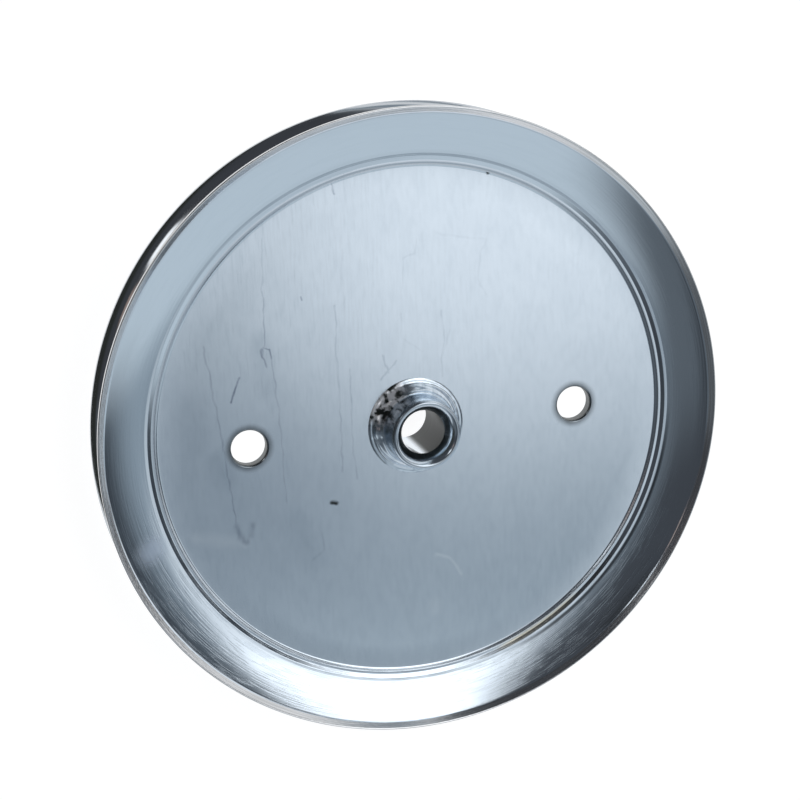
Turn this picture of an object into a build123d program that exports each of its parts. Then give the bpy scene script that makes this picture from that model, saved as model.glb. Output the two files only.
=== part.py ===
from build123d import *
import math
import os

# A pressed steel V-belt pulley: two half sheaves lie back to back, and a turned hub is welded through them.
# Millimetres. The origin is on the shaft axis, in the plane where the two halves meet. +Z is the shaft axis,
# towards the welded front, and the two web holes lie along X.

# Driving dimensions: the rim and the sheet
rim_diameter = 228.6          # outside of the lips
sheet = 2.3                   # thickness of each pressed half
groove_half_angle = 20.0      # degrees between a flange and the web's plane, for a wedge belt
lip_slope = 45.0              # degrees that the lip turns up from the web's plane
lip_turn_up = 2.0             # how far the lip stands above the end of the flange
lip_trim = 1.2                # height of the band where the blank was trimmed to the rim

# Driving dimensions: the double step where the web becomes the flange
web_flat_radius = 93.0        # the flat of the web ends here
step_width = 1.3              # each of the two steps, measured along the radius
step_rise = 0.6
ledge_width = 0.98            # nearly flat ledge between the two steps
ledge_rise = 0.1

# Driving dimensions: the hub and its bore
hub_diameter = 25.4
hub_length = 31.75
hub_chamfer = 0.8             # at the outer corner of each end
hub_end_ring = 0.7            # flat ring left on each end, between the chamfer and the countersink
bore_diameter = 15.875
lead_in_angle = 34.0          # degrees between the wall of a countersink and the shaft axis
hub_fit = 0.05                # gap all round between the hub and the hole it is welded into

# Driving dimensions: the weld and the web holes
weld_leg_out = 5.1            # how far the weld spreads over the web from the hub
weld_leg_up = 3.4             # how far it climbs the hub
web_hole_diameter = 12.7
web_hole_spacing = 121.8      # between the centres of the two holes

# Derived sizes
rim_radius = rim_diameter / 2
hub_radius = hub_diameter / 2
bore_radius = bore_diameter / 2
flange_tangent = math.tan(math.radians(groove_half_angle))
flange_cosine = math.cos(math.radians(groove_half_angle))
lip_tangent = math.tan(math.radians(lip_slope))
lip_sine = math.sin(math.radians(lip_slope))


def crossing(radius_a, height_a, tangent_a, radius_b, height_b, tangent_b):
    """The point where two lines of the section meet, each given by a point and its slope."""
    radius = (height_b - height_a + tangent_a * radius_a - tangent_b * radius_b) / (tangent_a - tangent_b)
    return radius, height_a + tangent_a * (radius - radius_a)


def sheave_section():
    """Half of the sheet's section, radius along X and height along Y, with its back on the meeting plane."""
    hole_radius = hub_radius + hub_fit
    step_foot = (web_flat_radius, sheet)
    ledge_start = (step_foot[0] + step_width, step_foot[1] + step_rise)
    ledge_end = (ledge_start[0] + ledge_width, ledge_start[1] + ledge_rise)
    flange_start = (ledge_end[0] + step_width, ledge_end[1] + step_rise)
    # the trim cuts the lip's sharp outer corner off at the rim
    lip_inner_radius = rim_radius + lip_trim / lip_tangent - sheet / lip_sine
    flange_end_radius = lip_inner_radius - lip_turn_up / lip_tangent
    flange_end = (flange_end_radius, flange_start[1] + flange_tangent * (flange_end_radius - flange_start[0]))
    lip_top = flange_end[1] + lip_turn_up
    trim_foot = (rim_radius, lip_top - lip_trim)
    # the belt's side of the flange is one sheet thickness behind its front
    flange_back = (flange_start[0], flange_start[1] - sheet / flange_cosine)
    groove_root = crossing(*flange_back, flange_tangent, hole_radius, 0, 0)
    lip_back = crossing(*flange_back, flange_tangent, *trim_foot, lip_tangent)
    outline = [(hole_radius, 0), (hole_radius, sheet), step_foot, ledge_start, ledge_end, flange_start, flange_end,
               (lip_inner_radius, lip_top), (rim_radius, lip_top), trim_foot, lip_back, groove_root]
    return make_face(Polyline(*outline, close=True))


def half_sheave():
    """One pressed half: the spun section with its two punched web holes."""
    disc = revolve(Plane.XZ * sheave_section(), Axis.Z)
    punch = Cylinder(web_hole_diameter / 2, sheet, align=(Align.CENTER, Align.CENTER, Align.MIN))
    for side in (-1, 1):
        disc -= Pos(side * web_hole_spacing / 2, 0, 0) * punch
    return disc


def hub():
    """The turned collar, chamfered outside and countersunk inside at both ends."""
    half = hub_length / 2
    ring_outer = hub_radius - hub_chamfer
    ring_inner = ring_outer - hub_end_ring
    lead_in_depth = (ring_inner - bore_radius) / math.tan(math.radians(lead_in_angle))
    upper = [(bore_radius, half - lead_in_depth), (ring_inner, half), (ring_outer, half),
             (hub_radius, half - hub_chamfer)]
    lower = [(radius, -height) for radius, height in reversed(upper)]
    return revolve(Plane.XZ * make_face(Polyline(*upper, *lower, close=True)), Axis.Z)


def hub_weld():
    """The fillet of weld between the hub and the front web."""
    outline = [(hub_radius, sheet), (hub_radius + weld_leg_out, sheet), (hub_radius, sheet + weld_leg_up)]
    return revolve(Plane.XZ * make_face(Polyline(*outline, close=True)), Axis.Z)


front = half_sheave()
pieces = {
    "front_sheave": front,
    "rear_sheave": front.mirror(Plane.XY),
    "hub": hub(),
    "hub_weld": hub_weld(),
}
os.makedirs("parts", exist_ok=True)
for name, piece in pieces.items():
    export_step(piece, f"parts/{name}.step")
    print(name, round(piece.volume), "mm3")
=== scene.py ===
# %% [markdown]
# A pressed steel pulley in bright zinc plate
#
# The object is a V-belt pulley. Two dished halves of steel sheet lie back to back, so that their
# flanges leave a groove for the belt, and a turned hub is welded through the middle. The whole
# thing was then zinc plated. Nothing on it is painted, so nearly all that the eye sees is mirrored
# light, and this lesson spends its time on smooth meshes, on the plate and on what it mirrors.

# %% Load the packed frame
import math

import bmesh
import bpy
from mathutils import Matrix, Vector


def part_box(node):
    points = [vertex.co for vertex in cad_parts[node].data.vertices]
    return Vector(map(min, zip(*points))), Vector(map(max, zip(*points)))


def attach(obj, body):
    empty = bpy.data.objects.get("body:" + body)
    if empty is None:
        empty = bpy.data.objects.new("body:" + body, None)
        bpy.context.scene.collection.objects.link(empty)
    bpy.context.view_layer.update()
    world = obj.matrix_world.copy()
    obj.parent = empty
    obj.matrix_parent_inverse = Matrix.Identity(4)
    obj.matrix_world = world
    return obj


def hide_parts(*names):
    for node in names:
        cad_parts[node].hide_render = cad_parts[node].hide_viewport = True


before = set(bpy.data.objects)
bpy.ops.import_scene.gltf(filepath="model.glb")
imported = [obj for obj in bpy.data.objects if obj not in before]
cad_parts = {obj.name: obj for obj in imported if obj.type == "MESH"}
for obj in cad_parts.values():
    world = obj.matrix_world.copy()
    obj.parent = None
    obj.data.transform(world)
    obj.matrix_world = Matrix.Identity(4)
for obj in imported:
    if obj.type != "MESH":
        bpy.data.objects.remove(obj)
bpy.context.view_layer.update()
print("solids:", sorted(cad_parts))

# %% [markdown]
# The solids come from CAD with the right form, but their round faces are strips of flat triangles.
# A shiny surface shows each strip as a flicker, so every piece is made again here on the same
# section, spun in fine steps and with its corners rounded. The sizes below are in millimetres and
# follow the CAD to about one millimetre. Radius comes first, then the height above the plane where
# the two halves meet. The web lifts a little towards its edge and the flange is slightly hollow, as
# pressed sheet is, and the lip thins out towards the rim.

# %% The section of one pressed half
MM = 0.001
rim_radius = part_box("front_sheave")[1].x / MM
lip_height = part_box("front_sheave")[1].z / MM
sheet = 2.3
hub_hole_radius = 12.75
web_flat = (84.0, sheet)
web_edge = (93.15, sheet + 0.18)
first_step = (94.15, 3.2)
first_ledge = (95.25, 3.26)
second_step = (96.55, 3.85)
flange_start = (97.6, 3.97)
flange_end = (111.8, 8.785)
lip_top = (113.65, lip_height - 0.06)
rim_corner = (rim_radius, lip_height)
trim_foot = (rim_radius, lip_height - 1.5)
lip_back = (112.2, 6.83)
groove_root = (93.42, 0.0)
web_sag = 0.045
flange_sag = 0.42


def hollow(start, end, sag, steps):
    """Points from start to end that hang below the straight line between them."""
    points = []
    for step in range(1, steps):
        t = step / steps
        points.append((start[0] + t * (end[0] - start[0]),
                       start[1] + t * (end[1] - start[1]) - 4 * sag * t * (1 - t)))
    return points


sheave_outline = [(hub_hole_radius, 0.0), (hub_hole_radius, sheet),
                  web_flat, *hollow(web_flat, web_edge, web_sag, steps=6), web_edge,
                  first_step, first_ledge, second_step, flange_start,
                  *hollow(flange_start, flange_end, flange_sag, steps=8), flange_end,
                  lip_top, rim_corner, trim_foot, lip_back, groove_root]
sheave_bends = {web_edge: 1.2, first_step: 0.9, first_ledge: 0.7, second_step: 0.7,
                flange_start: 1.6, flange_end: 2.5, lip_top: 0.6, rim_corner: 0.45,
                trim_foot: 0.6, lip_back: 8.0, groove_root: 3.0}
print("section points:", len(sheave_outline), "rounded:", len(sheave_bends))

# %% [markdown]
# A spun piece starts as half of its section. By hand this is a single point, extruded from corner
# to corner, with the corners bevelled as points, and then turned round the axis with Spin. Spinning
# from a real section keeps every ring at its true radius, which a scaled cylinder would not do.

# %% Draw a section and spin it
same_place = 1e-6  # metres between two points that are merged into one


def pick_point(piece, place):
    """Selects the one point of the mesh that is nearest to a place."""
    bpy.ops.mesh.select_all(action="DESELECT")
    mesh = bmesh.from_edit_mesh(piece.data)
    nearest = min(mesh.verts, key=lambda point: (point.co - place).length)
    nearest.select = True
    mesh.select_flush_mode()
    bmesh.update_edit_mesh(piece.data)


def corner_turn(outline, index):
    """How far the outline turns at one of its corners, in radians."""
    before, here, after = (Vector(outline[(index + k) % len(outline)]) for k in (-1, 0, 1))
    return (here - before).angle(after - here)


def draw_section(name, outline, bends, steps_in_bend=5):
    """A closed wire in the XZ plane with rounded corners, left in edit mode."""
    bpy.ops.object.select_all(action="DESELECT")
    bpy.ops.mesh.primitive_plane_add(size=MM, location=(outline[0][0] * MM, 0, outline[0][1] * MM))
    piece = bpy.context.object
    piece.name = piece.data.name = name
    bpy.ops.object.transform_apply(location=True, rotation=True, scale=True)
    bpy.ops.object.mode_set(mode="EDIT")
    bpy.ops.mesh.select_all(action="SELECT")
    bpy.ops.mesh.merge(type="CENTER")
    for here, there in zip(outline, outline[1:] + outline[:1]):
        step = ((there[0] - here[0]) * MM, 0, (there[1] - here[1]) * MM)
        bpy.ops.mesh.extrude_vertices_move(TRANSFORM_OT_translate={"value": step})
    bpy.ops.mesh.select_all(action="SELECT")
    bpy.ops.mesh.remove_doubles(threshold=same_place)
    for corner, radius in bends.items():
        pick_point(piece, Vector((corner[0] * MM, 0, corner[1] * MM)))
        reach = radius * MM * math.tan(corner_turn(outline, outline.index(corner)) / 2)
        bpy.ops.mesh.bevel(affect="VERTICES", offset=reach, segments=steps_in_bend)
    return piece


def spin_section(piece, steps, centre=(0, 0, 0)):
    """Turns the wire round the axis into a closed mesh, and goes back to object mode."""
    bpy.ops.mesh.select_all(action="SELECT")
    bpy.ops.mesh.spin(steps=steps, angle=2 * math.pi, center=centre, axis=(0, 0, 1))
    bpy.ops.mesh.select_all(action="SELECT")
    bpy.ops.mesh.remove_doubles(threshold=same_place)
    bpy.ops.mesh.normals_make_consistent(inside=False)
    bpy.ops.object.mode_set(mode="OBJECT")
    return piece


front_sheave = spin_section(draw_section("front_half", sheave_outline, sheave_bends), steps=384)
print("front half:", len(front_sheave.data.polygons), "faces")

# %% [markdown]
# The two web holes are punched. A punch draws the edge of the sheet in with it, so the hole has a
# soft lead-in on the side that was struck. The punch itself is spun with that flare on it and cut
# out of the web with a Boolean, so hole and soft edge come in one step and stay round.

# %% Punch the web holes
web_hole_radius = 6.35
web_hole_place = 60.9
flare_radius = 7.3
punch_low, punch_high = -1.0, 4.0
flare = [(web_hole_radius, 1.4), (6.42, 1.75), (6.62, 2.05), (6.95, 2.25), (flare_radius, 2.36)]
punch_outline = [(0.0, punch_low), (web_hole_radius, punch_low), *flare,
                 (flare_radius, punch_high), (0.0, punch_high)]


def punch(piece, centre_x):
    """Cuts one flared hole through the web at a place along X."""
    outline = [(radius + centre_x, height) for radius, height in punch_outline]
    tool = spin_section(draw_section("punch", outline, {}), steps=128, centre=(centre_x * MM, 0, 0))
    bpy.ops.object.select_all(action="DESELECT")
    bpy.context.view_layer.objects.active = piece
    piece.select_set(True)
    cut = piece.modifiers.new("punched hole", "BOOLEAN")
    cut.operation, cut.solver, cut.object = "DIFFERENCE", "EXACT", tool
    bpy.ops.object.modifier_apply(modifier=cut.name)
    bpy.data.objects.remove(tool)


for side in (-1, 1):
    punch(front_sheave, side * web_hole_place)
print("front half with its holes:", len(front_sheave.data.polygons), "faces")

# %% [markdown]
# Smooth shading mixes the normals of neighbouring faces. The flat web would borrow a little of the
# tilt of the step beside it, and the whole disc would look dented. A Weighted Normal modifier lets
# the largest face win at every corner, so flats stay flat and the bends stay round. The second half
# is the same pressing turned over, so it is a copy with its own mesh, turned half way round Y.

# %% Shade the half and turn a copy over
sharp_corner = math.radians(50)


def smooth_shade(piece):
    """Smooth shading in which large flat faces keep their own normals."""
    bpy.ops.object.select_all(action="DESELECT")
    bpy.context.view_layer.objects.active = piece
    piece.select_set(True)
    bpy.ops.object.shade_smooth_by_angle(angle=sharp_corner)
    weigh = piece.modifiers.new("flat faces win", "WEIGHTED_NORMAL")
    weigh.mode, weigh.weight, weigh.keep_sharp = "FACE_AREA", 80, True
    bpy.ops.object.modifier_apply(modifier=weigh.name)


bpy.ops.object.select_all(action="DESELECT")
front_sheave.select_set(True)
bpy.context.view_layer.objects.active = front_sheave
bpy.ops.object.duplicate()
rear_sheave = bpy.context.object
rear_sheave.name = rear_sheave.data.name = "rear_half"
bpy.ops.transform.rotate(value=math.pi, orient_axis="Y", center_override=(0, 0, 0))
bpy.ops.object.transform_apply(location=True, rotation=True, scale=True)
for half in (front_sheave, rear_sheave):
    smooth_shade(half)
    corners = (half.bound_box[0], half.bound_box[6])
    print(half.name, [[round(1000 * c, 2) for c in corner] for corner in corners])

# %% [markdown]
# The hub is a turned collar. Its ends have a small outer chamfer, a narrow flat ring and a deep
# countersink that leads the shaft into the bore. The tool has left the countersink a little round,
# like the mouth of a bell. It is spun from its section in the same way.

# %% The turned hub
hub_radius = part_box("hub")[1].x / MM
hub_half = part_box("hub")[1].z / MM
bore_radius = 7.9375
lead_in_depth = 4.837
mouth_radius = 11.2
end_ring_radius = 11.9
hub_chamfer = 0.8
mouth_bulge = 0.9
corner_rounds = (0.9, 0.9, 0.7, 0.6)
hub_corners = [(bore_radius, hub_half - lead_in_depth), (mouth_radius, hub_half),
               (end_ring_radius, hub_half), (hub_radius, hub_half - hub_chamfer)]
mouth = hollow(hub_corners[0], hub_corners[1], -mouth_bulge, steps=10)
hub_front = [hub_corners[0], *mouth, *hub_corners[1:]]
hub_outline = hub_front + [(radius, -height) for radius, height in reversed(hub_front)]
hub_bends = {}
for corner, radius in zip(hub_corners, corner_rounds):
    hub_bends[corner] = hub_bends[(corner[0], -corner[1])] = radius
hub = spin_section(draw_section("turned_collar", hub_outline, hub_bends), steps=192)
smooth_shade(hub)
print("hub:", len(hub.data.polygons), "faces, bore", 2 * bore_radius, "mm")

# %% [markdown]
# The weld is a bead of metal that was molten: hollow in section, with a ripple or two along it where
# the torch moved steadily, and lumpy where it started and stopped. The ring is spun from a hollow
# section, and a Displace modifier with a soft cloud pattern raises the lumps. A vertex group keeps
# nearly all of them to the stretch where the bead was started, at the upper left.

# %% The weld bead
web_front = sheet
weld_foot, weld_crown = 17.7, 5.7
foot_height = 0.06
crown_width = 0.3
sunk = 0.1  # how far the bead reaches into the web and the hub
bead_sag = 0.75
ripple_height = 0.14
points_in_half_ripple = 6
foot = (weld_foot, web_front + foot_height)
crown = (hub_radius + crown_width, weld_crown)
bead = []
for k, (radius, height) in enumerate(hollow(foot, crown, bead_sag, steps=24), 1):
    bead.append((radius, height + ripple_height * math.sin(k * math.pi / points_in_half_ripple)))
weld_outline = [(hub_radius - sunk, web_front - sunk), (weld_foot, web_front - sunk), foot,
                *bead, crown, (hub_radius - sunk, weld_crown)]
hub_weld = spin_section(draw_section("weld_bead", weld_outline, {}), steps=320)
print("weld ring:", len(hub_weld.data.polygons), "faces")

# %% The lumps where the weld was started
lumpy_from, lumpy_to = math.radians(100), math.radians(190)
least_lump = 0.06
lumps = hub_weld.vertex_groups.new(name="lumps")
for point in hub_weld.data.vertices:
    angle = math.atan2(point.co.y, point.co.x) % (2 * math.pi)
    share = (angle - lumpy_from) / (lumpy_to - lumpy_from)
    weight = math.sin(math.pi * share) ** 0.5 if 0 < share < 1 else 0.0
    height = (point.co.z / MM - web_front) / (weld_crown - web_front)
    faded_at_edges = max(0.0, min(1.0, 3 * height, 4 - 4 * height))
    lumps.add([point.index], max(least_lump, weight) * faded_at_edges, "REPLACE")
ripple = bpy.data.textures.new("weld ripple", "CLOUDS")
ripple.noise_scale, ripple.noise_depth = 0.005, 1
bpy.ops.object.select_all(action="DESELECT")
bpy.context.view_layer.objects.active = hub_weld
hub_weld.select_set(True)
swell = hub_weld.modifiers.new("lumps", "DISPLACE")
swell.texture, swell.vertex_group = ripple, lumps.name
swell.strength, swell.mid_level = 2.4 * MM, 0.4
bpy.ops.object.modifier_apply(modifier=swell.name)
bpy.ops.object.shade_smooth()
print("weld bead:", len(hub_weld.data.vertices), "points, lumps over",
      round(math.degrees(lumpy_to - lumpy_from)), "degrees")

# %% [markdown]
# Each new piece now takes the place of its solid, which is hidden. It rides on the part's one body.

# %% Put the pieces on the frame
for piece, node, slot in ((front_sheave, "front_sheave", "plated_sheet"),
                          (rear_sheave, "rear_sheave", "plated_sheet"),
                          (hub, "hub", "turned_hub"),
                          (hub_weld, "hub_weld", "plated_weld")):
    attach(piece, "root")
    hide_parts(node)
    print(piece.name, "stands for", node)

# %% [markdown]
# A finish, the floor and the studio are all trees of nodes. By hand each node is added from a menu
# and joined with a drag. The small class below does the same in short calls, and it takes either
# the output of another node or a plain value for any input.

# %% A helper for trees of nodes
class Wiring:
    """Short calls for the nodes of one tree."""

    def __init__(self, tree):
        self.tree = tree

    def node(self, kind, *values, **settings):
        """A new node with its settings, and its first inputs linked or set."""
        made = self.tree.nodes.new(kind)
        for key, value in settings.items():
            setattr(made, key, value)
        for socket, value in zip(made.inputs, values):
            self.put(socket, value)
        return made

    def put(self, socket, value):
        """Links an output to a socket, or sets the socket to a plain value."""
        if isinstance(value, bpy.types.NodeSocket):
            self.tree.links.new(value, socket)
        else:
            socket.default_value = value

    def math(self, operation, *values):
        """The result of one Math node."""
        return self.node("ShaderNodeMath", *values, operation=operation).outputs[0]

    def vector(self, operation, *values):
        """The outputs of one Vector Math node: a vector first, and a number under Value."""
        return self.node("ShaderNodeVectorMath", *values, operation=operation).outputs

    def fade(self, value, gone, full):
        """0 at gone and 1 at full, with a soft change between."""
        return self.node("ShaderNodeMapRange", value, gone, full, interpolation_type="SMOOTHSTEP").outputs[0]

    def between(self, share, low, high):
        """A plain number that goes from low to high with a share of 0 to 1."""
        return self.node("ShaderNodeMapRange", share, 0.0, 1.0, low, high).outputs[0]

    def tint(self, share, first, second):
        """A colour that goes from first to second with a share of 0 to 1."""
        mix = self.node("ShaderNodeMix", share, data_type="RGBA")
        for socket, colour in ((mix.inputs[6], first), (mix.inputs[7], second)):
            self.put(socket, colour if isinstance(colour, bpy.types.NodeSocket) else (*colour, 1))
        return mix.outputs[2]


print("helper:", Wiring.__doc__)

# %% [markdown]
# Handling has left hairlines and specks on the web. Each hairline is a line through a few points. A
# node group measures how far a place is from one stretch of it and turns that into a mark, so one
# group serves every scratch. A picture of scratches would be simpler, but it has one resolution.

# %% A node group for one stretch of a scratch
scratch = bpy.data.node_groups.new("scratch", "ShaderNodeTree")
for name, kind in (("Place", "NodeSocketVector"), ("Start", "NodeSocketVector"),
                   ("End", "NodeSocketVector"), ("Width", "NodeSocketFloat")):
    scratch.interface.new_socket(name, in_out="INPUT", socket_type=kind)
scratch.interface.new_socket("Mark", in_out="OUTPUT", socket_type="NodeSocketFloat")
inside = Wiring(scratch)
place, start, end, width = inside.node("NodeGroupInput").outputs[:4]
run = inside.vector("SUBTRACT", end, start)[0]
away = inside.vector("SUBTRACT", place, start)[0]
along = inside.math("DIVIDE", inside.vector("DOT_PRODUCT", away, run)["Value"],
                    inside.vector("DOT_PRODUCT", run, run)["Value"])
along = inside.node("ShaderNodeClamp", along).outputs[0]
reached = inside.node("ShaderNodeVectorMath", run, operation="SCALE")
inside.put(reached.inputs["Scale"], along)
distance = inside.vector("DISTANCE", away, reached.outputs[0])["Value"]
inside.node("NodeGroupOutput", inside.fade(distance, width, 0.0))
print("scratch group:", len(scratch.nodes), "nodes")

# %% [markdown]
# Zinc plate is a thin bright skin, so each finish below is a metal whose colour, roughness and bump
# say what was done to the steel under it; in a few places the colour also carries painted shade,
# painted highlights and a painted reflection. The marks come from noise that is stretched the way the
# work ran: along Y on the web, where the strip was rolled, and round the axis on the flange and the
# hub, where the die and the tool went round.

# %% A helper for metal finishes
class Finish(Wiring):
    """One metal finish: a Principled shader, and short calls for what feeds it.

    The plain colour and roughness stay on the sockets, for viewers that cannot read the nodes.
    """

    def __init__(self, name, colour, roughness):
        self.material = bpy.data.materials.new(name)
        self.material.use_nodes = True
        super().__init__(self.material.node_tree)
        self.shader = self.tree.nodes["Principled BSDF"]
        self.shader.inputs["Metallic"].default_value = 1.0
        self.shader.inputs["Base Color"].default_value = (*colour, 1)
        self.shader.inputs["Roughness"].default_value = roughness
        self.place = self.node("ShaderNodeTexCoord").outputs["Object"]
        self.x, self.y, self.z = self.node("ShaderNodeSeparateXYZ", self.place).outputs
        self.flat_place = self.node("ShaderNodeCombineXYZ", self.x, self.y, 0.0).outputs[0]
        self.radius = self.vector("LENGTH", self.flat_place)["Value"]

    def rolled_noise(self, across, along, detail=3.0):
        """Noise with marks of this size in millimetres across X and along Y."""
        scale = (1 / (across * MM), 1 / (along * MM), 1 / (across * MM))
        return self.noise(self.vector("MULTIPLY", self.place, scale)[0], detail)

    def ring_noise(self, across, along, detail=3.0, ring_radius=100.0):
        """Noise with marks of this size in millimetres across the radius and along a ring."""
        turn = ring_radius / along
        to_side = []
        for axis in (self.x, self.y):
            to_side.append(self.math("MULTIPLY", self.math("DIVIDE", axis, self.radius), turn))
        depth = self.math("MULTIPLY", self.math("ADD", self.radius, self.z), 1 / (across * MM))
        return self.noise(self.node("ShaderNodeCombineXYZ", *to_side, depth).outputs[0], detail)

    def noise(self, vector, detail):
        """Noise with marks one unit of this vector wide."""
        made = self.node("ShaderNodeTexNoise", vector)
        made.inputs["Scale"].default_value = 1.0
        made.inputs["Detail"].default_value = detail
        return made.outputs["Fac"]

    def ring(self, radius, reach):
        """1 on a ring of this radius, fading out within a reach, in millimetres."""
        off = self.math("ABSOLUTE", self.math("SUBTRACT", self.radius, radius * MM))
        return self.fade(off, reach * MM, 0.1 * reach * MM)

    def towards(self, degrees, gone, full):
        """A sector that is full where the cosine of the angle from its middle reaches a value."""
        middle = (math.cos(math.radians(degrees)), math.sin(math.radians(degrees)), 0)
        dot = self.vector("DOT_PRODUCT", self.flat_place, middle)["Value"]
        return self.fade(self.math("DIVIDE", dot, self.radius), gone, full)

    def wobble(self, reach, size):
        """The flat place, moved by up to a reach by noise of this size, in millimetres."""
        made = self.node("ShaderNodeTexNoise", self.flat_place)
        made.inputs["Scale"].default_value = 1 / (size * MM)
        shift = self.vector("SUBTRACT", made.outputs["Color"], (0.5, 0.5, 0.5))[0]
        shift = self.vector("MULTIPLY", shift, (2 * reach * MM, 2 * reach * MM, 0))[0]
        return self.vector("ADD", self.flat_place, shift)[0]

    def marks(self, lines):
        """The strongest of these lines, each with a strength, a width in millimetres and its points."""
        share = 0.0
        near = self.wobble(1.1, 5)
        for strength, width, points in lines:
            for start, end in zip(points, points[1:]):
                ends = [(point[0] * MM, point[1] * MM, 0) for point in (start, end)]
                line = self.node("ShaderNodeGroup", near, *ends, width * MM, node_tree=scratch)
                share = self.math("MAXIMUM", share, self.math("MULTIPLY", line.outputs[0], strength))
        return share

    def dents(self, height, depth):
        """Feeds a height of 0 to 1 to the shader as bumps this many millimetres deep."""
        bump = self.node("ShaderNodeBump")
        bump.inputs["Strength"].default_value = 1.0
        bump.inputs["Distance"].default_value = depth * MM
        self.put(bump.inputs["Height"], height)
        self.put(self.shader.inputs["Normal"], bump.outputs["Normal"])

    def finish(self, colour, roughness):
        """Links the colour and the roughness, and gives back the material."""
        self.put(self.shader.inputs["Base Color"], colour)
        self.put(self.shader.inputs["Roughness"], roughness)
        print("finish:", self.material.name, "with", len(self.tree.nodes), "nodes")
        return self.material


print("helper:", Finish.__doc__.splitlines()[0])

# %% The colours of zinc, dirt and soot, and of painted shade and highlights
zinc = (0.70, 0.78, 0.86)
pale_zinc = (0.86, 0.92, 0.98)
grey_zinc = (0.50, 0.58, 0.66)
warm_zinc = (0.84, 0.80, 0.68)
scratch_grey = (0.24, 0.29, 0.37)
crease_shade_grey = (0.2, 0.23, 0.27)
end_ring_shade_grey = (0.3, 0.34, 0.38)
hole_shade_and_dirt_grey = (0.1, 0.115, 0.125)
crease_shade_dark = (0.09, 0.105, 0.12)
thumb_film = (0.58, 0.7, 0.9)
soot_and_shade_black = (0.02, 0.024, 0.022)
weld_lump_highlight = (0.95, 0.96, 1.0)
print("plate:", zinc, "dulled:", grey_zinc)

# %% [markdown]
# The web is flat rolled strip, so it mirrors a wide soft patch of the studio. Faint rolling streaks
# show on its left half, dull clouds lie all over it, and a dark ring is painted round each hole, partly
# dirt and partly a painted dark reflection on the flared edge. The hairlines are where it slid over
# other parts, and two black specks are dirt under the plate.

# %% The marks on the web
# each mark: its strength, its width and its points in millimetres
hairlines = [
    (0.2, 0.5, [(-51, 73), (-52, 55)]),
    (0.45, 0.5, [(-52, 55), (-53, 36)]),
    (1.0, 0.8, [(-54, 35), (-54, 32)]),
    (0.8, 0.6, [(-54, 32), (-52.5, 28.5)]),
    (0.7, 0.6, [(-53.5, 35.5), (-51.5, 34.5), (-50.8, 31)]),
    (0.3, 0.5, [(-50.8, 31), (-49.5, 12.5), (-49, -22)]),
    (0.35, 0.6, [(-74, 38), (-70.5, 7)]),
    (0.45, 0.6, [(-70.5, 7), (-67.5, -28)]),
    (0.5, 2.0, [(-67.5, -28), (-66.5, -32), (-64.5, -34)]),
    (0.35, 2.2, [(-62, -28.5), (-62.5, -32)]),
    (0.9, 0.7, [(-62.5, 25.5), (-66, 17.5)]),
    (0.25, 0.6, [(-27, 47), (-27.5, 31), (-27.5, 9.5), (-28, -13)]),
    (0.1, 0.6, [(-23.5, 71), (-24, 39)]),
    (0.25, 0.6, [(-23, 23.5), (-23.5, -1), (-23, -16.5)]),
    (0.13, 0.5, [(4, 67), (3, 62.5), (-1.5, 61), (-2, 54.5), (-2.5, 50.5)]),
    (0.09, 0.7, [(11, 69), (19.5, 66.5), (29.5, 64.5), (27, 60), (25.5, 50.5), (29, 44)]),
    (0.2, 0.6, [(11.5, 41), (12.5, 31), (11, 24), (10.5, 17)]),
    (0.15, 0.6, [(14.5, 33.5), (11, 24)]),
    (0.1, 0.5, [(-3.5, 42), (-3.5, 33), (4, 26.5)]),
    (0.3, 0.7, [(-11, 27), (-9, 21)]),
    (0.3, 0.7, [(-6, 25), (-12, 18.5)]),
    (0.15, 0.9, [(-37, -35), (-36.5, -42), (-41, -45)]),
    (0.6, 0.6, [(-25.5, 89.5), (-24.5, 86)]),
    (0.6, 0.5, [(-38.5, 51.2), (-38.5, 50)]),
]
specks = [(1.0, 1.3, [(-32.4, -24.1), (-31.0, -24.4)]),
          (1.0, 1.0, [(30.4, 88.9), (30.8, 88.2)])]
pale_marks = [(0.5, 1.2, [(5.5, -50.5), (11, -52.5), (14.5, -59)]),
              (0.3, 4.0, [(4, -69), (4, -72)]),
              (0.42, 4.2, [(-82, -30), (-66, -34.5)])]
dull_patches = [(0.4, 7.0, [(-73, -3), (-69.5, -10)]),
                (0.3, 6.0, [(-54, 38), (-53, 20)]),
                (0.3, 9.0, [(-80, 18), (-79, 4)]),
                (0.25, 8.0, [(-47, -30), (-42, -44)])]
print("web marks:", len(hairlines), "hairlines,", len(specks), "specks,", len(pale_marks), "pale,",
      len(dull_patches), "dull")

# %% The web
web_finish = Finish("rolled_web", zinc, 0.14)
grain = web_finish.rolled_noise(0.7, 9, 4)
cloud = web_finish.rolled_noise(7, 12, 3)
blotch = web_finish.rolled_noise(1.8, 5, 4)
left_side = web_finish.fade(web_finish.x, 0.02, -0.06)
dull = web_finish.math("MULTIPLY", web_finish.fade(grain, 0.5, 0.78),
                       web_finish.between(left_side, 0.02, 0.22))
dull = web_finish.math("ADD", dull, web_finish.between(cloud, -0.14, 0.28))
dull = web_finish.math("ADD", dull, web_finish.between(web_finish.fade(blotch, 0.42, 0.68), 0.0, 0.11))
dull = web_finish.math("ADD", dull, web_finish.marks(dull_patches))
plate = web_finish.tint(dull, zinc, grey_zinc)
plate = web_finish.tint(web_finish.marks(pale_marks), plate, pale_zinc)
worn_line = web_finish.math("MULTIPLY", web_finish.marks(hairlines),
                            web_finish.between(blotch, -0.3, 1.7))
plate = web_finish.tint(worn_line, plate, scratch_grey)
either_side = web_finish.math("ABSOLUTE", web_finish.x)
folded = web_finish.node("ShaderNodeCombineXYZ", either_side, web_finish.y, 0.0)
from_hole = web_finish.vector("DISTANCE", folded.outputs[0], (web_hole_place * MM, 0, 0))["Value"]
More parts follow.
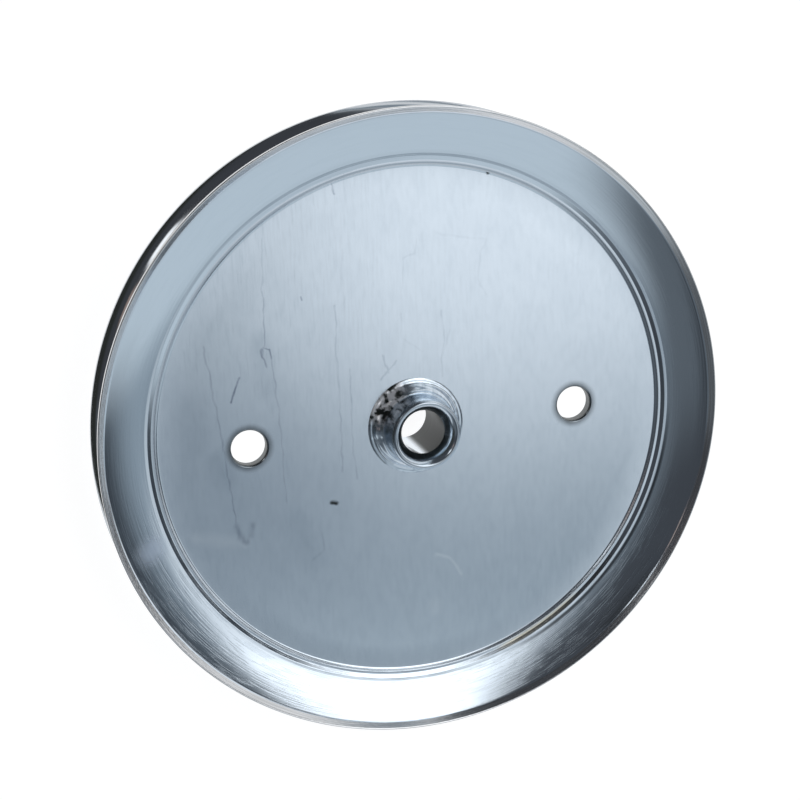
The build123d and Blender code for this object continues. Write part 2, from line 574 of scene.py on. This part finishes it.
# a dark ring round each hole: painted dark reflection on the flared edge, with some dirt
hole_shade_and_dirt = web_finish.math("MULTIPLY", web_finish.fade(from_hole, 9.5 * MM, 6.4 * MM),
                       web_finish.between(cloud, 0.5, 1.1))
plate = web_finish.tint(hole_shade_and_dirt, plate, hole_shade_and_dirt_grey)
plate = web_finish.tint(web_finish.marks(specks), plate, soot_and_shade_black)
web_skin = web_finish.finish(colour=plate, roughness=web_finish.between(grain, 0.11, 0.18))

# %% [markdown]
# The flange was drawn over the die, which left fine lines round the axis. They bend the mirrored
# light a little, so the border between a white and a dark reflection breaks into streaks. The creases
# beside the steps are darkened with painted shade, the ledge between the steps has a warm tinge at
# the lower right, and a thumb has left a dull film at the lower left. The film is not metal, so it
# lowers Metallic too.

# %% The flange
flange_finish = Finish("pressed_flange", zinc, 0.16)
brush = flange_finish.ring_noise(0.5, 22, 4)
patch = flange_finish.ring_noise(2.2, 9, 4)
worn = flange_finish.fade(flange_finish.math("MULTIPLY", brush, patch), 0.2, 0.36)
low_side = flange_finish.between(flange_finish.towards(-95, 0.1, 0.6), 0.25, 1.0)
worn = flange_finish.math("MULTIPLY", worn, low_side)
plate = flange_finish.tint(flange_finish.math("MULTIPLY", worn, 0.2), zinc, grey_zinc)
# the dark lines in the two creases beside the steps are painted shade
low_right = flange_finish.between(flange_finish.towards(-38, 0.8, 0.95), 0.05, 0.9)
outer_crease_shade = flange_finish.math("MULTIPLY", flange_finish.ring(98.1, 1.1), low_right)
plate = flange_finish.tint(outer_crease_shade, plate, crease_shade_dark)
inner_crease_shade = flange_finish.math("MULTIPLY", flange_finish.ring(94.2, 1.0),
                                  flange_finish.between(flange_finish.towards(-45, 0.75, 0.9), 0.4, 0.0))
plate = flange_finish.tint(inner_crease_shade, plate, crease_shade_grey)
warm = flange_finish.math("MULTIPLY", flange_finish.ring(95.4, 1.6),
                          flange_finish.towards(-62, 0.975, 0.995))
plate = flange_finish.tint(warm, plate, warm_zinc)
flange_finish.dents(flange_finish.math("ADD", flange_finish.math("MULTIPLY", brush, 0.3), worn), 0.011)
roughness = flange_finish.math("ADD", flange_finish.between(worn, 0.1, 0.18),
                               flange_finish.between(flange_finish.ring(93.8, 0.9), 0.0, 0.14))
film = flange_finish.marks([(0.5, 7.5, [(-99.2, -31.4), (-98.4, -30.8)])])
plate = flange_finish.tint(film, plate, thumb_film)
roughness = flange_finish.math("ADD", roughness, flange_finish.between(film, 0.0, 0.2))
flange_finish.put(flange_finish.shader.inputs["Metallic"], flange_finish.between(film, 1.0, 0.0))
flange_skin = flange_finish.finish(colour=plate, roughness=roughness)

# %% [markdown]
# The lip was sheared and turned up after the sheet was rolled, so its skin is greyer, with lines
# along it and a few nicks across, more of them at the lower left. Both are noise that feeds a bump,
# because they are far too fine to model.

# %% The sheared lip
lip_dull = (0.58, 0.59, 0.6)
lip_bright = (0.74, 0.75, 0.77)
lip_finish = Finish("sheared_lip", (0.62, 0.61, 0.6), 0.3)
nicks = lip_finish.ring_noise(0.9, 1.4, 3)
lines = lip_finish.ring_noise(0.4, 18, 3)
low_left = lip_finish.between(lip_finish.towards(-120, 0.0, 0.6), 0.3, 3.0)
nicks = lip_finish.math("MULTIPLY", nicks, low_left)
lip_finish.dents(lip_finish.math("ADD", nicks, lines), 0.012)
lip_skin = lip_finish.finish(colour=lip_finish.tint(lip_finish.fade(lines, 0.35, 0.65), lip_dull, lip_bright),
                             roughness=lip_finish.between(lines, 0.13, 0.22))

# %% [markdown]
# The belt's side of both halves has no marks of handling. It only has a fine polish round the axis,
# so it mirrors the studio more clearly than the rest, and a low roughness with faint rings is enough.

# %% The belt groove
groove_bright = (0.66, 0.7, 0.74)
groove_dull = (0.5, 0.52, 0.55)
groove_finish = Finish("belt_groove", (0.62, 0.66, 0.7), 0.1)
polish = groove_finish.ring_noise(0.4, 30, 3)
groove_finish.dents(polish, 0.006)
groove_skin = groove_finish.finish(colour=groove_finish.tint(polish, groove_bright, groove_dull),
                                   roughness=groove_finish.between(polish, 0.06, 0.14))

# %% [markdown]
# A punch shears the first part of the sheet and tears the rest, and the plating bath hardly reaches
# into the hole. So the walls are dark and rough, with deeper bumps than any other face.

# %% The walls of the web holes
wall_dark = (0.1, 0.105, 0.105)
wall_grey = (0.24, 0.25, 0.25)
wall_finish = Finish("punched_wall", (0.16, 0.165, 0.165), 0.45)
torn = wall_finish.rolled_noise(0.8, 0.8, 3)
wall_finish.dents(torn, 0.05)
wall_skin = wall_finish.finish(colour=wall_finish.tint(torn, wall_dark, wall_grey),
                               roughness=wall_finish.between(torn, 0.35, 0.55))

# %% [markdown]
# A lathe tool leaves fine rings on the hub, and the ring at its end is painted grey as painted shade,
# to dim its reflection. The bore is painted dark as painted shade, apart from one side, which is
# painted pale as a painted reflection of the white floor. Faint rings of noise make the tool marks,
# and a sector of the bore goes from the dark shade to pale zinc.

# %% The hub
hub_finish = Finish("turned_hub", zinc, 0.1)
rings = hub_finish.ring_noise(0.35, 60, 2, ring_radius=12.7)
hub_finish.dents(rings, 0.006)
plate = hub_finish.tint(hub_finish.fade(rings, 0.4, 0.7), zinc, grey_zinc)
# painted shade: the end ring is greyed to dim its reflection
end_ring_shade = hub_finish.between(hub_finish.ring(11.55, 0.8), 0.0, 0.6)
hub_skin = hub_finish.finish(colour=hub_finish.tint(end_ring_shade, plate, end_ring_shade_grey),
                             roughness=hub_finish.between(rings, 0.12, 0.22))

# %% The bore
# the bore's dark colours are painted shade
bore_shade_dark = (0.04, 0.045, 0.044)
bore_shade_grey = (0.11, 0.12, 0.118)
bore_finish = Finish("reamed_bore_painted_shade", (0.07, 0.078, 0.075), 0.4)
# painted reflection: one side of the bore is pale zinc, as if it mirrors the white floor
floor_reflection_side = bore_finish.towards(-122, 0.66, 0.92)
bore_finish.put(bore_finish.shader.inputs["Metallic"], bore_finish.between(floor_reflection_side, 0.3, 1.0))
reamed = bore_finish.ring_noise(0.5, 40, 2, ring_radius=8.0)
bore_finish.dents(reamed, 0.02)
plate = bore_finish.tint(reamed, bore_shade_dark, bore_shade_grey)
bore_skin = bore_finish.finish(colour=bore_finish.tint(floor_reflection_side, plate, pale_zinc),
                               roughness=bore_finish.between(floor_reflection_side, 0.42, 0.15))

# %% [markdown]
# The weld froze in fine ripples, which the plate follows. Where the bead was started it is black, as
# soot and a painted dark reflection, between pale lumps whose pale colour is a painted highlight, so a
# sector of it mixes two colours with coarse noise and is less of a metal.

# %% The weld
weld_finish = Finish("plated_weld", zinc, 0.16)
freeze = weld_finish.ring_noise(0.7, 2.0, 3, ring_radius=15)
weld_finish.dents(freeze, 0.02)
plate = weld_finish.tint(weld_finish.fade(freeze, 0.45, 0.75), zinc, grey_zinc)
# soot and painted dark reflection, mixed with painted highlights on the lumps
started = weld_finish.towards(138, 0.78, 0.93)
lump_highlight = weld_finish.fade(weld_finish.rolled_noise(2.8, 2.8, 2), 0.4, 0.56)
plate = weld_finish.tint(started, plate, weld_finish.tint(lump_highlight, soot_and_shade_black, weld_lump_highlight))
weld_finish.put(weld_finish.shader.inputs["Metallic"], weld_finish.between(started, 1.0, 0.35))
weld_skin = weld_finish.finish(colour=plate, roughness=weld_finish.between(started, 0.16, 0.2))

# %% [markdown]
# One pressing carries several finishes, so its faces are sorted by where they are and which way they
# face. By hand this is a selection in edit mode and Assign, and in code it is a rule for each face.

# %% Give every face its finish
sheet_skins = {"web": web_skin, "flange": flange_skin, "lip": lip_skin, "groove": groove_skin,
               "hole wall": wall_skin}
zone_number = {zone: number for number, zone in enumerate(sheet_skins)}
wall_reach = 0.2
rim_band = rim_radius - 0.05
lip_start = flange_end[0] + 0.6
web_end = web_edge[0] + 0.3
bore_reach = 0.15


def sheet_zone(face):
    """The zone of the pressing that a face lies in, by its place and the way it looks."""
    radius = math.hypot(face.center.x, face.center.y) / MM
    outward = face.normal.z * face.center.z > 0
    hole = math.hypot(abs(face.center.x) / MM - web_hole_place, face.center.y / MM)
    if hole < web_hole_radius + wall_reach and radius < web_flat[0]:
        return "hole wall"
    if radius > rim_band or (outward and radius > lip_start):
        return "lip"
    if outward:
        return "web" if radius < web_end else "flange"
    return "groove"


for half in (front_sheave, rear_sheave):
    half.data.materials.clear()
    for skin in sheet_skins.values():
        half.data.materials.append(skin)
    counts = dict.fromkeys(sheet_skins, 0)
    for face in half.data.polygons:
        zone = sheet_zone(face)
        face.material_index = zone_number[zone]
        counts[zone] += 1
    print(half.name, "faces per finish:", counts)
hub.data.materials.clear()
hub.data.materials.append(hub_skin)
hub.data.materials.append(bore_skin)
for face in hub.data.polygons:
    in_bore = math.hypot(face.center.x, face.center.y) / MM < bore_radius + bore_reach
    face.material_index = 1 if in_bore else 0
hub_weld.data.materials.clear()
hub_weld.data.materials.append(weld_skin)

# %% [markdown]
# The floor is a plain white sheet. To the camera and in reflections it glows a little, so that it
# stays white, and the rest of its brightness is real light, so the pulley's soft shadow still falls
# on it. Every other ray sees an ordinary white surface.

# %% The floor
floor_height = -hub_half * MM
floor_radius = 6.0
bpy.ops.object.select_all(action="DESELECT")
bpy.ops.mesh.primitive_circle_add(vertices=96, radius=floor_radius, fill_type="NGON",
                                  location=(0, 0, floor_height))
floor = bpy.context.object
floor.name = "floor"
bpy.ops.object.transform_apply(location=True, rotation=True, scale=True)
paper = bpy.data.materials.new("white_paper")
paper.use_nodes = True
paper.node_tree.nodes.clear()
paper_glow = (0.92, 0.92, 0.92, 1)
shadow_share = (0.24, 0.24, 0.24, 1)
plain_white = (0.8, 0.8, 0.8, 1)
sheet_wiring = Wiring(paper.node_tree)
rays = sheet_wiring.node("ShaderNodeLightPath").outputs
mirrored = sheet_wiring.math("MAXIMUM", rays["Is Glossy Ray"], rays["Is Transmission Ray"])
seen = sheet_wiring.math("MAXIMUM", rays["Is Camera Ray"], mirrored)
glow = sheet_wiring.node("ShaderNodeEmission", paper_glow).outputs[0]
thin = sheet_wiring.node("ShaderNodeBsdfDiffuse", shadow_share).outputs[0]
both = sheet_wiring.node("ShaderNodeAddShader", glow, thin).outputs[0]
matt = sheet_wiring.node("ShaderNodeBsdfDiffuse", plain_white).outputs[0]
surface = sheet_wiring.node("ShaderNodeMixShader", seen, matt, both).outputs[0]
sheet_wiring.node("ShaderNodeOutputMaterial", surface)
floor.data.materials.append(paper)
print("floor at", round(1000 * floor_height, 3), "mm")

# %% [markdown]
# Bright metal has no look of its own until there is something to mirror. The studio is a ceiling of
# soft panels: a large white one to the upper right, pale walls below, and a dark side on the left,
# where the camera stands. A small window and a door to the upper left give the rear rim its bright
# spots. A ray meets the ceiling at X and Y, which are its sideways parts divided by its height, so
# each panel is a patch with soft edges, and a later panel covers the ones before it.

# %% The studio ceiling
world = bpy.data.worlds.new("studio")
bpy.context.scene.world = world
world.use_nodes = True
world.node_tree.nodes.clear()
studio = Wiring(world.node_tree)
ray = studio.node("ShaderNodeTexCoord").outputs["Generated"]
side, front_back, rise = studio.node("ShaderNodeSeparateXYZ", ray).outputs
least_rise = 0.03  # keeps the ceiling finite towards the horizon
rise = studio.math("MAXIMUM", rise, least_rise)
over_x = studio.math("DIVIDE", side, rise)
over_y = studio.math("DIVIDE", front_back, rise)
spot = studio.node("ShaderNodeCombineXYZ", over_x, over_y, 0.0).outputs[0]


def leaning(slope):
    """Y less a share of X: its lines of equal value lean across the ceiling."""
    return studio.math("SUBTRACT", over_y, studio.math("MULTIPLY", over_x, slope))


def distance_from(x, y):
    """How far a place on the ceiling is from this one."""
    return studio.vector("DISTANCE", spot, (x, y, 0.0))["Value"]


def lane(degrees):
    """Distances along and off a line that leaves the middle of the ceiling in one direction."""
    ahead = (math.cos(math.radians(degrees)), math.sin(math.radians(degrees)), 0)
    off = studio.vector("DOT_PRODUCT", spot, (-ahead[1], ahead[0], 0))["Value"]
    return studio.vector("DOT_PRODUCT", spot, ahead)["Value"], studio.math("ABSOLUTE", off)


print("ceiling:", len(world.node_tree.nodes), "nodes before its panels")

# %% The panels of the studio
low = leaning(-0.22)
horizon = leaning(-0.5)
window_along, window_off = lane(142)
door_along, door_off = lane(162)
leftward = leaning(2.5)
leftmost = leaning(4.0)
left_back = leaning(0.6)
rightward = studio.math("ADD", over_x, studio.math("MULTIPLY", over_y, 0.6))
opening = studio.math("MAXIMUM", studio.math("SUBTRACT", over_y, 0.45), 0.0)
slanted = studio.math("SUBTRACT", over_x, studio.math("MULTIPLY", opening, 0.9))
panels = [  # name, colour, and the edges where the panel is gone and full
    ("pale wall", (0.60, 0.66, 0.70), [(low, -0.34, -0.5)]),
    ("low wall", (0.46, 0.50, 0.54), [(over_y, -1.4, -1.9), (over_y, -3.4, -2.6)]),
    ("horizon", (0.74, 0.75, 0.76), [(horizon, -2.4, -3.4), (over_x, -1.4, -0.6)]),
    ("bright horizon", (1.05, 1.07, 1.1), [(horizon, -6.0, -12.0)]),
    ("glow", (1.0, 1.02, 1.04), [(over_y, -0.44, -0.2), (over_x, 0.02, 0.32), (over_x, 0.75, 0.5)]),
    ("gap", (0.05, 0.056, 0.065), [(rightward, 0.45, 1.1), (low, -0.75, -0.3),
                                   (leaning(0.55), 0.6, 0.2)]),
    ("far wall", (0.92, 0.93, 0.94), [(over_x, 1.0, 1.6), (leaning(-0.4), 0.35, 0.9),
                                      (over_x, 9.0, 4.0)]),
    ("dark side", (0.125, 0.14, 0.155), [(leftmost, -1.2, 0.1), (over_x, 0.9, 0.3),
                                         (left_back, -2.2, -0.6)]),
    ("shade", (0.25, 0.29, 0.33), [(distance_from(0.18, -0.35), 0.15, 0.0)]),
    ("right strip", (0.05, 0.055, 0.062), [(over_x, -0.28, -0.42), (over_x, -0.85, -0.62),
                                           (over_y, -1.1, -0.6)]),
    ("darker side", (0.062, 0.066, 0.074), [(leftward, -0.1, 0.25), (over_x, 0.5, 0.1),
                                            (over_y, -0.35, -0.1)]),
    ("dark corner", (0.034, 0.037, 0.034), [(over_x, -1.5, -3.0), (left_back, 0.0, 1.0)]),
    ("softbox", (1.9, 1.9, 1.9), [(over_x, 0.03, 0.28), (slanted, 0.82, 0.42), (over_y, -0.14, 0.06),
                                  (over_y, 1.0, 0.6)]),
    ("window", (1.6, 1.6, 1.6), [(window_along, 0.66, 0.74), (window_along, 1.2, 1.05),
                                 (window_off, 0.14, 0.08)]),
    ("door", (0.42, 0.32, 0.28), [(door_along, 0.66, 0.74), (door_along, 1.2, 1.05),
                                  (door_off, 0.12, 0.06)]),
    ("camera", (0.02, 0.02, 0.02), [(distance_from(-0.284, 0.300), 0.22, 0.08)]),
]
ceiling = (0.30, 0.35, 0.39)
for name, shade, edges in panels:
    share = 1.0
    for value, gone, full in edges:
        share = studio.math("MULTIPLY", share, studio.fade(value, gone, full))
    ceiling = studio.tint(share, ceiling, shade)
seen = studio.node("ShaderNodeLightPath").outputs["Is Camera Ray"]
lit = studio.node("ShaderNodeBackground", studio.tint(seen, ceiling, (1, 1, 1)))
studio.node("ShaderNodeOutputWorld", lit.outputs[0])
print("studio panels:", [name for name, shade, edges in panels])

# %% [markdown]
# The camera stands where the photograph was taken from. Its place and turn come from the ellipses
# of the lip, the web and the two holes.

# %% The camera
camera = bpy.data.objects.new("camera", bpy.data.cameras.new("camera"))
bpy.context.scene.collection.objects.link(camera)
right = Vector((0.95599, -0.05182, 0.28879))
up = Vector((0.12751, 0.95983, -0.24988))
back = Vector((-0.26425, 0.27570, 0.92420))
stand = (-0.16765, 0.17952, 0.56991)
turn = Matrix((right, up, back)).transposed().to_4x4()
camera.matrix_world = Matrix.Translation(stand) @ turn
camera.data.sensor_width = 36.0
camera.data.lens = 77.68
bpy.context.scene.camera = camera
bpy.context.scene.view_settings.view_transform = "Standard"
print("camera lens:", camera.data.lens, "mm")

# %% [markdown]
